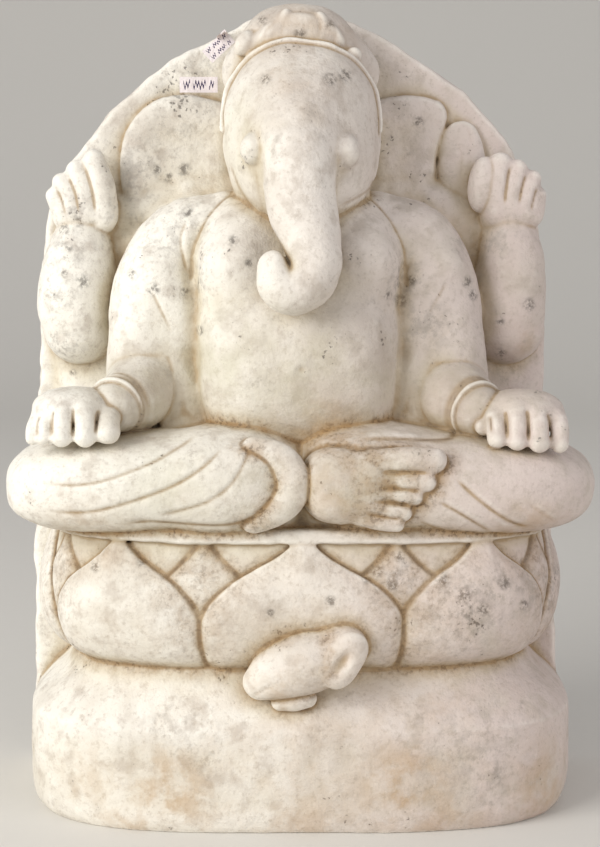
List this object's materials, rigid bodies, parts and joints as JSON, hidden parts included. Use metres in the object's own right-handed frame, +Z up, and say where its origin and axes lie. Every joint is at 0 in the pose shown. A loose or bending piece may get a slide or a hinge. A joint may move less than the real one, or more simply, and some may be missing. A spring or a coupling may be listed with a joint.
{
  "type": "seated ganesha idol on a lotus base",
  "caption": "Seated elephant-headed deity carved in high relief from marble, cross-legged on a lotus seat with a mouse below, to stand on a shelf or altar.",
  "frame": {"origin": "centre of the bounding box on the floor plane, under the idol", "axes": "+Z up, -Y is the front that faces the worshipper, +Y is the flat back, +X is the viewer's right"},
  "size_m": [0.4026, 0.1892, 0.56],
  "materials": {
    "marble": "matt, hand-smoothed, with grey mottling and brown dirt in the creases",
    "label_paper": "matt"
  },
  "bodies": {
    "root": {"back_slab": "marble", "bracelet_left": "marble", "bracelet_right": "marble", "crown": "marble", "crown_crest": "marble", "crown_rosette_left": "marble", "crown_rosette_right": "marble", "ear_left": "marble", "ear_right": "marble", "eye_boss_left": "marble", "eye_boss_right": "marble", "folded_foot": "marble", "forearm_left": "marble", "forearm_right": "marble", "forehead_band": "marble", "hand_left": "marble", "hand_right": "marble", "head": "marble", "held_bud_left": "marble", "hem_roll": "marble", "leg_left": "marble", "leg_right": "marble", "lotus_core": "marble", "mouse_body": "marble", "mouse_head": "marble", "mouse_paw": "marble", "navel": "marble", "paper_label_lower": "label_paper", "paper_label_upper": "label_paper", "petal_corner_left": "marble", "petal_corner_right": "marble", "petal_front": "marble", "petal_inner_left": "marble", "petal_inner_right": "marble", "petal_inner_side_left": "marble", "petal_inner_side_right": "marble", "petal_side_left": "marble", "petal_side_right": "marble", "plinth": "marble", "raised_arm_left": "marble", "raised_arm_right": "marble", "raised_hand_left": "marble", "raised_hand_right": "marble", "raised_thumb_left": "marble", "sash_left": "marble", "sash_right": "marble", "seat_board": "marble", "torso": "marble", "trunk": "marble", "upper_arm_left": "marble", "upper_arm_right": "marble"}
  },
  "joints": []
}
